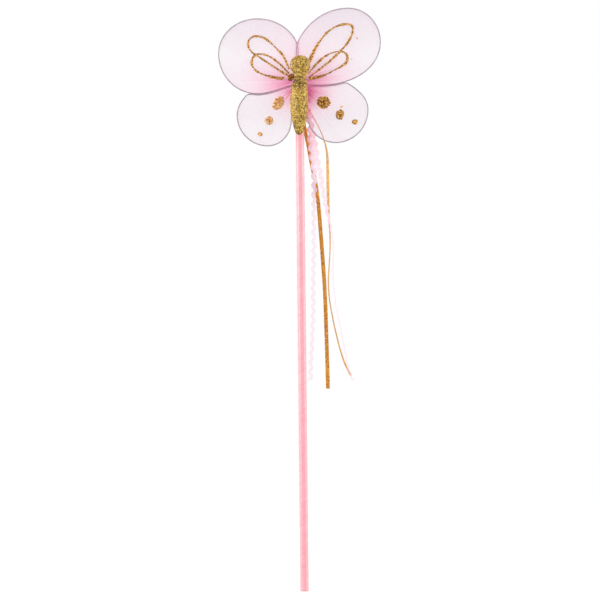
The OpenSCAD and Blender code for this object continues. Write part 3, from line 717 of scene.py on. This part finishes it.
def glue_line(wing, first, last, knots, seed):
    """Bead of glitter glue: a half-round profile that swells and shrinks along a curve, rough with flakes."""
    line = even(wing_curve(knots), LINE_GAP)
    run = lengths(line)
    along = unit(np.gradient(line, axis=0))
    side = np.c_[along[:, 1], -along[:, 0]]
    angle = np.linspace(0, np.pi, 8)
    swell = 1.0 + 0.32 * waver(seed, run / 1.1) + 0.18 * waver(seed + 1, run / 6)
    swell += (first - 1) * bell(run, LINE_END) + (last - 1) * bell(run[-1] - run, LINE_END)
    swell = np.clip(swell, 0.3, 2.4)
    width = LINE_W / 2 * swell[:, None] * np.cos(angle)
    height = GLUE_SINK + LINE_H * np.clip(swell, 0.6, 1.1)[:, None] * np.sin(angle)
    rough = np.random.default_rng(seed).normal(0, FLAKE, (2, *width.shape))
    flat = line[:, None] + (width + rough[0])[..., None] * side[:, None]
    foot = np.array([-0.5, 0.5]) * LINE_W * 0.8 * swell[:, None]
    base = line[:, None] + foot[..., None] * side[:, None]
    out = NYLON_R - GLUE_SINK + np.concatenate([height + np.abs(rough[1]), np.zeros((len(line), 2))], axis=1)
    return closed(in_wing(wing, np.concatenate([flat, base], axis=1), out), fold=0.0)


def glue_dot(wing, dot, seed):
    """Drop of glitter glue: a low dome with a wavy edge, rough with flakes, on a flat base."""
    reach, height, width, tall, lean, dark = dot
    sides = max(int(width * np.pi / 0.42), 12)
    angle = round_angles(sides)
    share = np.r_[0.4, np.linspace(1, 0.03, max(int(width / 0.8), 4))][:, None]
    edge = width / 2 * (1 + 0.06 * waver(seed, 3 * np.cos(angle), 3 * np.sin(angle)))
    tufts = np.random.default_rng(seed + 1).normal(0, 0.035 * min(width, 6), sides // 2)
    edge += np.interp(np.arange(sides) / 2, np.arange(sides // 2), tufts, period=sides / 2)
    dome = np.where(np.arange(len(share))[:, None] == 0, 0.0, LINE_H * (0.25 + 0.75 * (1 - share ** 4)))
    rough = np.random.default_rng(seed).normal(0, FLAKE, (3, len(share), sides))
    rough[:, 0] = 0
    up = tall * share * edge * np.sin(angle)
    flat = np.stack([reach + share * edge * np.cos(angle) + lean * up + rough[0], height + up + rough[1]], -1)
    return closed(in_wing(wing, flat, NYLON_R - GLUE_SINK + dome + rough[2]), fold=dark)


def wing_glitter(name, seed, finish, node):
    """All the glitter of a wing: its lines and its drops, faceted so that each flake shines by itself."""
    wing = WINGS[name]
    lines = [glue_line(wing, *line, seed + k) for k, line in enumerate(GLUE_LINES.get(name, []))]
    dots = [glue_dot(wing, dot, seed + 10 + k) for k, dot in enumerate(GLUE_DOTS.get(name, []))]
    make(name + "_sparkle", lines + dots, finish, name + "_wing", [node], smooth=False)


def wing_tie(name):
    """Thread wound close round a wing's tail: a thin tube along a helix."""
    wing = WINGS[name]
    low = ROOT_Z + wing["tie"] + TIE_THREAD_R
    high = ROOT_Z + wing["tie"] + TIE_H - TIE_THREAD_R
    path, out = coil((wing["axis"], WING_Y), TAIL_R + TIE_THREAD_R, low, high, 10)
    surface = closed(tube(path, TIE_THREAD_R, out, 6), lengths(path))
    make(name + "_binding_thread", [surface], PINK_THREAD, name + "_wing", [name + "_tie"])


for order, wing_name in enumerate(WINGS):
    wing_wire(wing_name)
    wing_veil(wing_name, 20 + order)
    wing_tie(wing_name)
wing_glitter("upper_left", 101, LINE_GLITTER, "upper_left_glitter")
wing_glitter("upper_right", 131, LINE_GLITTER, "upper_right_glitter")
wing_glitter("lower_left", 161, LEFT_DOT_GLITTER, "lower_left_dots")
wing_glitter("lower_right", 191, RIGHT_DOT_GLITTER, "lower_right_dots")


# Stick, its winding and its bound head

FOOT_Z = -50
WRAP_R = 3.35
SATIN_T = 0.1
WRAP_PITCH = 10.8
WRAP_STEPS = 48
LAPPED_W = 1.16
WRAP_TOP_Z = 318.5
SLEEVE_Z = 318.65
STICK_TOP_Z = 354.3
SLEEVE_PITCH = 8
BINDING_R = 3.65
TAIL_BINDING_R = 1.15
BINDING_PITCH, BINDING_SLANT = 2.4, 0.9
BINDING_ROLL = 0.35


def wound_satin(low, high, radius, pitch):
    """Ribbon wound round an upright stick in overlapping turns.

    Its two edges climb a helix a little more than one pitch apart. The lower edge lies on top of the turn
    before, and the upper edge lies under the next one. Both are held between the ends of the winding.
    """
    turn = np.arange(-1, (high - low) / pitch, 1 / WRAP_STEPS)
    bottom = np.clip(low + pitch * turn, low, high)
    top = np.clip(low + pitch * (turn + LAPPED_W), low, high)
    keep = top - bottom > 0.4
    turn, bottom, top = turn[keep], bottom[keep], top[keep]
    share = np.array([0, 0.02, 0.12, 0.2, 0.5, 0.8, 0.86, 1.0])
    drop = np.array([0.02, 0, 0.01, 0.03, 0.06, 0.08, 0.12, 0.14])
    share, drop = np.r_[share, share[::-1]], np.r_[drop, drop[::-1] + SATIN_T]
    out = turned(TURN * turn)[:, None] * (radius - drop)[None, :, None]
    height = bottom[:, None] + (top - bottom)[:, None] * share
    run = turn * TURN * radius
    return closed(np.concatenate([out, height[..., None]], axis=-1), run)


def folded_end(z, radius, up):
    """Satin folded over a stick's end: a turned profile with a soft lip and pleats that close on the axis."""
    profile = np.array([[radius - 0.12, 2.6], [radius + 0.02, 2.2], [radius + 0.08, 1.4],
                        [radius + 0.02, 0.7], [radius - 0.5, 0.2], [radius - 1.3, 0.03],
                        [radius - 2.4, 0.1], [0.25, 0.2]])
    line = through(profile, 5)
    angle = round_angles(72)
    pleat = np.cos(9 * angle + 0.8 * np.sin(2 * angle))
    depth = 0.07 * bell(line[:, 1] - 0.3, 0.7)[:, None]
    ring = line[:, 0][:, None] - depth * (1 + pleat)
    height = line[:, 1][:, None] + 0.05 * depth / 0.07 * (1 + pleat)
    points = np.stack([ring * np.cos(angle), ring * np.sin(angle), z + up * height], -1)
    return closed(points)


def bound_head():
    """Satin bound round the stick's head and the four tails: turns that each lie over the one before.

    Its outline is drawn tight round circles: in each direction, it takes the point of the farthest circle.
    """
    circles = np.array([[0, 0, BINDING_R], [WINGS["lower_left"]["axis"], WING_Y, TAIL_BINDING_R],
                        [WINGS["lower_right"]["axis"], WING_Y, TAIL_BINDING_R]])
    way = turned(round_angles(96))
    farthest = (way @ circles[:, :2].T + circles[:, 2]).argmax(axis=1)
    middle, radius = circles[farthest, :2], circles[farthest, 2]
    height = np.linspace(BINDING_BOTTOM, BINDING_TOP, 60)
    slant = BINDING_SLANT * way[:, 0]
    turn = ((height[:, None] + slant - BINDING_BOTTOM) / BINDING_PITCH) % 1
    from_end = np.minimum(height - BINDING_BOTTOM, BINDING_TOP - height)[:, None]
    creases = 0.03 * waver(5, 9 * way[:, 0], 9 * way[:, 1], height[:, None] * 2)
    inset = BINDING_ROLL * (np.minimum(1, from_end / 0.5) - 1) - 0.2 * turn + creases
    out = middle + (radius + inset)[..., None] * way
    z = np.broadcast_to((ROOT_Z + height)[:, None, None], (*out.shape[:2], 1))
    return closed(np.concatenate([out, z], axis=-1), height)


make("stick_winding",
     [wound_satin(FOOT_Z + 0.5, WRAP_TOP_Z, WRAP_R, WRAP_PITCH), folded_end(FOOT_Z, WRAP_R, 1)],
     STICK_SATIN, "stick", ["stick_wrap"], crease=50)
make("head_binding",
     [wound_satin(SLEEVE_Z, STICK_TOP_Z - 0.5, WRAP_R, SLEEVE_PITCH), folded_end(STICK_TOP_Z, WRAP_R, -1),
      bound_head()],
     BINDING_SATIN, "stick", ["wing_binding"], crease=50)
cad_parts["stick_core"].material_slots[0].material = BIRCH


# Ribbon knots

BAND_R, BAND_T = 3.58, 0.32
BAND_STEPS = 120
KNOT_T = 0.25


def wound_knot(centre, front, back, radius, width):
    """Knot of ribbon: a band wound slantwise round a line that runs front to back, in overlapping turns."""
    turns = (back - front) / width + 0.6
    turn = np.linspace(-0.3, turns, int(turns * 28))
    share = np.linspace(-0.5, 0.5, 7)
    across = np.r_[share, share[::-1]]
    skin = np.r_[np.zeros(7), np.full(7, -KNOT_T)]
    depth = front + width * (turn[:, None] + across * 1.25 + 0.25 * np.sin(TURN * turn)[:, None])
    lift = radius - 0.18 - 0.14 * across + skin + 0.1 * np.sin(4 * np.pi * turn)[:, None]
    out = turned(TURN * turn)
    depth = np.clip(depth, front, back)
    points = np.stack([centre[0] + out[:, :1] * lift, depth, ROOT_Z + centre[1] + out[:, 1:] * lift], -1)
    return closed(points, turn * TURN * radius, near_knot=1.0)


def knot_ends(centre, front, back, radius):
    """Puckered heart of a knot: a barrel with rounded ends and soft folds along it."""
    line = through(np.array([[0.3, front + 0.1], [radius * 0.6, front + 0.15], [radius - 0.4, front + 0.6],
                             [radius - 0.3, (front + back) / 2], [radius - 0.4, back - 0.6],
                             [radius * 0.6, back - 0.15], [0.3, back - 0.1]]), 5)
    angle = round_angles(40)
    ring = line[:, :1] * (1 + 0.05 * np.cos(7 * angle + line[:, 1:] * 0.8))
    points = np.stack([centre[0] + ring * np.cos(angle), np.broadcast_to(line[:, 1:], ring.shape),
                       ROOT_Z + centre[1] + ring * np.sin(angle)], -1)
    return closed(points, near_knot=1.0)


def stick_band(drop, width, cords):
    """Ribbon looped once round the stick: a flat profile carried round a circle."""
    angle = np.linspace(0.06, TURN - 0.06, BAND_STEPS)
    out = np.c_[turned(angle), np.zeros(BAND_STEPS)]
    lift = ROOT_Z + drop + 0.12 * np.sin(3 * angle)
    path = np.c_[out[:, :2] * BAND_R, lift]
    points = sweep(path, np.broadcast_to(Z_AXIS, path.shape), out, ribbon_profile(width, BAND_T, cords))
    return closed(points, angle * BAND_R, near_knot=1.0)


def ribbon_knot(name, centre, front, back, width, cords, finish):
    """Ribbon looped round the stick and knotted at its right."""
    surfaces = [stick_band(centre[1], width, cords),
                knot_ends(centre, front, back, KNOT_D / 2),
                wound_knot(centre, front, back, KNOT_D / 2, width * 0.8)]
    make(name + "_wraps", surfaces, finish, "stick", [name], crease=50)


ribbon_knot("gold_knot", GOLD_KNOT, 0.5, 7.6, GOLD_W, 4, GOLD_RIBBON)
ribbon_knot("rickrack_knot", RICKRACK_KNOT, -1.8, 2.6, BRAID_W, 3, RICKRACK)


# Stuffed body

BODY_Y = -13.2
FLATNESS = 0.66
HEAD_W, HEAD_TOP = 15.6, 22.5
NECK_W, NECK = 9, 4.6
HEAD_H = HEAD_TOP - NECK
ABDOMEN_W, ABDOMEN_DROP = 13.8, 38.7
NECK_THREAD_R = 0.16
WADDING_GAP = 1.7
PAD_LOW = np.array([-4.3, -8.35, ROOT_Z - 11])
PAD_HIGH = np.array([1.5, -6.15, ROOT_Z - 4.5])
BODY_FLAKE = 0.05
SLACK = 0.25
SWELL_SCALE = 20
SWELL_FRAMES = 20
SWELL_CAP = 0.6
# Half outline: shares of the head's and the tip's height and width, and heights of the abdomen in millimetres
HEAD = np.array([[0.96, 0.2], [0.865, 0.36], [0.735, 0.4625], [0.58, 0.5], [0.445, 0.4775], [0.33, 0.4175],
                 [0.2, 0.3375]])
ABDOMEN = np.array([[0.7, 0.415], [-3.3, 0.4625], [-8, 0.4925], [-13, 0.5], [-19.5, 0.4875]])
TIP = np.array([[-0.65, 0.435], [-0.78, 0.36], [-0.9, 0.26], [-0.97, 0.16]])
BODY_PROFILE = through(np.vstack([
    [[HEAD_TOP, 0.5]], [NECK, 0] + HEAD * [HEAD_H, HEAD_W],
    [[NECK + 0.09 * HEAD_H, NECK_W / 2 + 0.1], [NECK, NECK_W / 2], [NECK - 1.4, NECK_W / 2 + 0.45]],
    ABDOMEN * [1, ABDOMEN_W], TIP * [ABDOMEN_DROP, ABDOMEN_W], [[-ABDOMEN_DROP, 0.5]]]), 16)


def body_lean(height):
    """Sideways place of the body's middle at a height: its head leans right and its tip leans left."""
    return np.interp(height, [-ABDOMEN_DROP, -15, -1, NECK, 15], [-0.5, -0.3, 0, 0.7, 0.8])


def body_rings(height, radius, angle):
    """Flattened rings of the body, one for each height, as places in the frame."""
    return np.stack([body_lean(height) + radius * np.cos(angle), BODY_Y + FLATNESS * radius * np.sin(angle),
                     np.broadcast_to(ROOT_Z + height, radius.shape)], -1)


def blown_up(points, held):
    """Blows a grid of rings up from inside, as cloth with the held points pinned, and gives the moved grid.

    The cloth is worked larger than life, where the solver is steady, and no point moves farther than a cap.
    """
    grid = closed(points)
    mesh = bpy.data.meshes.new("body_blank")
    start = grid["corners"] * MM * SWELL_SCALE
    mesh.from_pydata(start.tolist(), [], grid["faces"].tolist() + [lid.tolist() for lid in grid["lids"]])
    blank = set_out("body_blank", mesh)
    blank.vertex_groups.new(name="stitches").add(np.flatnonzero(held.ravel()).tolist(), 1.0, "REPLACE")
    cloth = blank.modifiers.new("stuffing", "CLOTH").settings
    cloth.vertex_group_mass = "stitches"
    cloth.use_pressure = True
    cloth.uniform_pressure_force = 4
    cloth.effector_weights.gravity = 0
    cloth.shrink_min = -0.02
    cloth.bending_stiffness = 1.5
    for step in range(1, SWELL_FRAMES + 1):
        bpy.context.scene.frame_set(step)
    swollen = blank.evaluated_get(bpy.context.evaluated_depsgraph_get())
    places = np.empty(start.size, np.float32)
    swollen.data.vertices.foreach_get("co", places)
    move = (places.reshape(start.shape) - start) / (MM * SWELL_SCALE)
    far = np.linalg.norm(move, axis=1, keepdims=True)
    bpy.data.objects.remove(blank)
    bpy.context.scene.frame_set(1)
    return points + (move * np.minimum(1, SWELL_CAP / np.maximum(far, 1e-6))).reshape(points.shape)


def finer(points, times):
    """The same grid with more rows, and more columns round it, on the straight lines between its points."""
    rows, columns = points.shape[:2]
    row = np.arange((rows - 1) * times + 1) / times
    below = np.minimum(row.astype(int), rows - 2)
    part = (row - below)[:, None, None]
    points = points[below] * (1 - part) + points[below + 1] * part
    column = np.arange(columns * times) / times
    before = column.astype(int)
    part = (column - before)[None, :, None]
    return points[:, before] * (1 - part) + points[:, (before + 1) % columns] * part


def stuffed_body():
    """Stuffed body: flattened rings that follow the profile, blown up between stitched places.

    The cover starts a little slack, with puckers beside the neck, gathers at both ends and a slanting crease
    below the neck. The side seams, the neck, the ends and the crease are held, and the rest swells. Every
    point then moves by part of a flake, so that each facet shines by itself.
    """
    line = even(BODY_PROFILE, 0.6)
    angle = round_angles(64)
    height, half = line[:, :1], line[:, 1:]
    front = np.clip(-np.sin(angle), 0, 1)
    sideways = np.cos(angle) * half
    crease = height - 0.8 - 2.6 / (1 + np.exp((sideways + 2.6) * 1.6))
    groove = 0.5 * front ** 0.5 * bell(crease, 0.7)
    tip = np.minimum(HEAD_TOP - height, height + ABDOMEN_DROP)
    pucker = 0.2 * bell(height - NECK, 2.4) * np.cos(11 * angle + 0.7 * np.sin(3 * angle))
    gathers = 0.12 * np.exp(-tip / 1.6) * np.cos(13 * angle)
    lumps = 0.12 * waver(41, 2.2 * np.cos(angle), 2.2 * np.sin(angle), height / 4.5)
    seam = np.abs(np.sin(angle))
    radius = half - groove + pucker + gathers + (lumps - SLACK) * seam * np.clip(half / 4, 0, 1)
    held = ((np.abs(height - NECK) < 0.5) | (tip < 0.3) | (seam + 0 * height < 0.05)
            | ((np.abs(crease) < 0.45) & (front > 0.35)))
    points = body_rings(height, np.maximum(radius, 0.2), angle)
    points = blown_up(points, held)
    # Painted shade on the glitter's front, round the waist and along the crease, and a painted shadow in the
    # notch left of the neck
    painted_notch_shadow = bell(height - 3.6, 1.3) * bell(sideways + 4.2, 1.3)
    fold = front * (0.4 * bell(height - 0.5, 4.5) + 0.3 * bell(crease, 0.8)) + painted_notch_shadow
    points, fold = np.split(finer(np.concatenate([points, fold[..., None]], axis=-1), 2), [3], axis=-1)
    flake = np.random.default_rng(43).normal(0, BODY_FLAKE, points.shape)
    flake[[0, -1]] = 0
    return closed(points + flake, fold=fold[..., 0])


def wadding():
    """Wadding inside the cover: smaller rings on the same profile, with soft lumps."""
    line = even(BODY_PROFILE, 0.9)
    angle = round_angles(48)
    lumps = 0.2 * waver(47, 2 * np.cos(angle), 2 * np.sin(angle), line[:, :1] / 3)
    radius = np.maximum(line[:, 1:] - WADDING_GAP + lumps, 0.2)
    return closed(body_rings(line[:, :1] * 0.95, radius, angle))


def neck_thread():
    """Thread drawn tight round the neck: three turns of a thin tube along a flattened helix."""
    z = ROOT_Z + NECK
    path, out = coil((body_lean(NECK), BODY_Y), NECK_W / 2 + 0.15, z - 0.35, z + 0.35, 3, FLATNESS, 64)
    return closed(tube(path, NECK_THREAD_R, out, 8), lengths(path))


def blunt(wave):
    """Wave with flattened crests, which makes a rounded square of a circle."""
    return np.sign(wave) * np.abs(wave) ** 0.45


def glue_blob():
    """Set glue between the binding and the body: a rounded block that bulges unevenly."""
    angle = round_angles(64)
    tilt = np.linspace(-0.96, 0.96, 25)[:, None] * np.pi / 2
    ring = blunt(np.cos(tilt))
    x, z, y = ring * blunt(np.cos(angle)), ring * blunt(np.sin(angle)), blunt(np.sin(tilt)) + 0 * angle
    swell = 1 + 0.05 * waver(61, 2 * x, 2 * y, 2 * z)
    block = np.stack([x * swell, y, z * swell], -1)
    return closed((PAD_LOW + PAD_HIGH) / 2 + block * (PAD_HIGH - PAD_LOW) / 2)


body = make("stuffed_body", [stuffed_body()], BODY_GLITTER, "stick", ["body_cover"],
            smooth=False)
make("body_wadding", [wadding()], WADDING, "stick", ["body_filling"])
make("neck_binding_thread", [neck_thread()], GOLD_THREAD, "stick", ["neck_thread"])
make("glue_blob", [glue_blob()], GLUE, "stick", ["glue_pad"])


# Stage: white surroundings, a pale floor that keeps a faint shadow, and soft lamps

def level(stage, lit, seen):
    """Strength of a stage surface: one as a light on the object, and another for what is seen.

    Seen is what reaches the camera straight, in a reflection or through glass.
    """
    path = add(stage, "LightPath").outputs
    straight = number(stage, "MAXIMUM", path["Is Camera Ray"], path["Is Glossy Ray"])
    ray = number(stage, "MAXIMUM", straight, path["Is Transmission Ray"])
    return add(stage, "MapRange", Value=ray, To_Min=lit, To_Max=seen).outputs["Result"]


AMBIENT = 0.7
FLOOR_Z = FOOT_Z - 1
FLOOR_R = 1500
FLOOR_SIDES = 96
FLOOR_SHADE = 0.15
FLOOR_BOUNCE = 0.54
FLOOR_GLOW = 0.88

world = bpy.data.worlds.new("white_room")
bpy.context.scene.world = world
world.use_nodes = True
background = world.node_tree.nodes["Background"]
background.inputs["Color"].default_value = (1, 1, 1, 1)
world.node_tree.links.new(level(world, AMBIENT, 1.0), background.inputs["Strength"])

floor_finish = new_finish("pale_floor", Base_Color=(FLOOR_SHADE, FLOOR_SHADE, FLOOR_SHADE, 1), Roughness=1,
                          Specular_IOR_Level=0, Emission_Color=(1, 1, 1, 1))
join(floor_finish, level(floor_finish, FLOOR_BOUNCE, FLOOR_GLOW), "Emission Strength")
floor_ring = turned(round_angles(FLOOR_SIDES)) * FLOOR_R * MM
floor_mesh = bpy.data.meshes.new("floor")
floor_mesh.from_pydata([(x, y, FLOOR_Z * MM) for x, y in floor_ring.tolist()], [], [list(range(FLOOR_SIDES))])
floor_mesh.materials.append(floor_finish)
floor = set_out("floor", floor_mesh)


def lamp(name, place_mm, power, size):
    """Soft square lamp aimed at the middle of the wand."""
    data = bpy.data.lights.new(name, "AREA")
    data.energy, data.size = power, size
    light = set_out(name, data)
    aim = np.array([0, 0, VIEW_CENTRE[1]]) - np.array(place_mm)
    light.location = np.array(place_mm) * MM
    tilt = math.atan2(math.hypot(aim[0], aim[1]), -aim[2])
    light.rotation_euler = (tilt, 0, math.atan2(aim[0], -aim[1]) + math.pi)


lamp("left_lamp", (-1550, -600, 650), 20, 0.7)
lamp("right_lamp", (1600, -450, 550), 15, 0.7)
lamp("back_lamp", (300, 1400, 700), 6.5, 0.9)

bpy.context.scene.view_settings.view_transform = "Standard"
